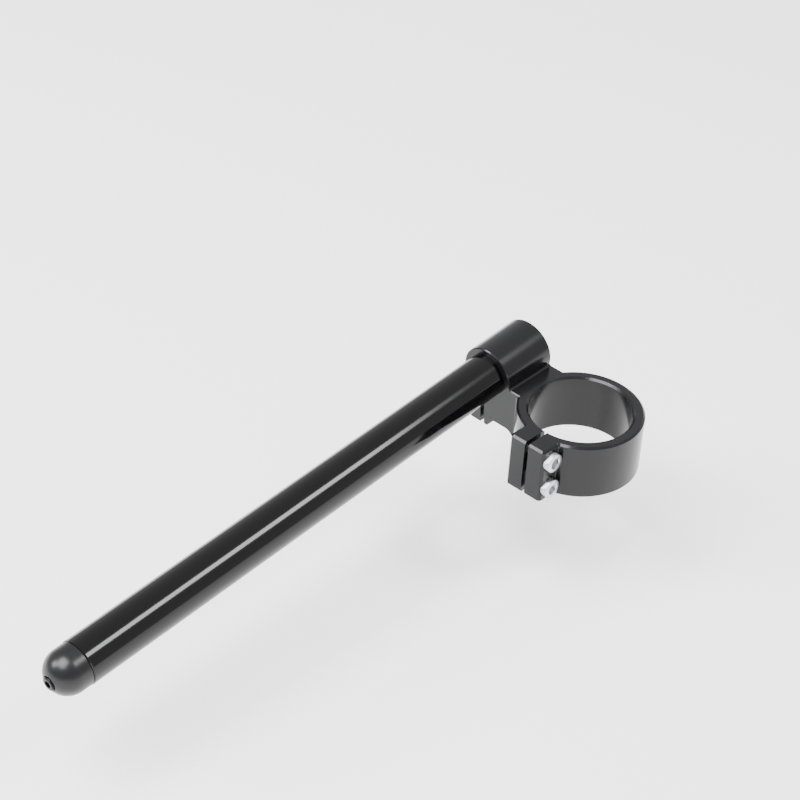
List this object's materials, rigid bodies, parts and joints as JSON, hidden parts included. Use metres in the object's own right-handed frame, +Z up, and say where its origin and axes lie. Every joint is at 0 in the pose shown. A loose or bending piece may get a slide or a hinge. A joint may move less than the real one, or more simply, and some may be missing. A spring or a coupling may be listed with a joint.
{
  "type": "clip-on handlebar",
  "caption": "Clip-on handlebar: a machined clamp ring with pinch ears and an offset sleeve that grips a slightly drooped straight tube with a domed end cap.",
  "frame": {"origin": "on the fork tube's axis, halfway up the clamp ring", "axes": "+Z up along the fork tube's axis, +X towards the grip end of the bar, -Y from the fork towards the bar"},
  "size_m": [0.3206, 0.0935, 0.051],
  "materials": {
    "clamp_anodised": "satin black anodised",
    "bar_anodised": "gloss black anodised",
    "cap_plastic": "satin black turned acetal",
    "plug_rubber": "moulded black rubber",
    "black_steel": "black oxide",
    "screw_steel": "bright zinc plated"
  },
  "bodies": {
    "root": {"clamp_body": "clamp_anodised", "bar_tube": "bar_anodised", "end_cap": "cap_plastic", "cap_screw": "black_steel", "cap_expander": "plug_rubber", "cap_nut": "screw_steel", "fork_screw_1": "screw_steel", "fork_screw_2": "screw_steel", "bar_screw_1": "screw_steel", "bar_screw_2": "screw_steel"}
  },
  "joints": []
}
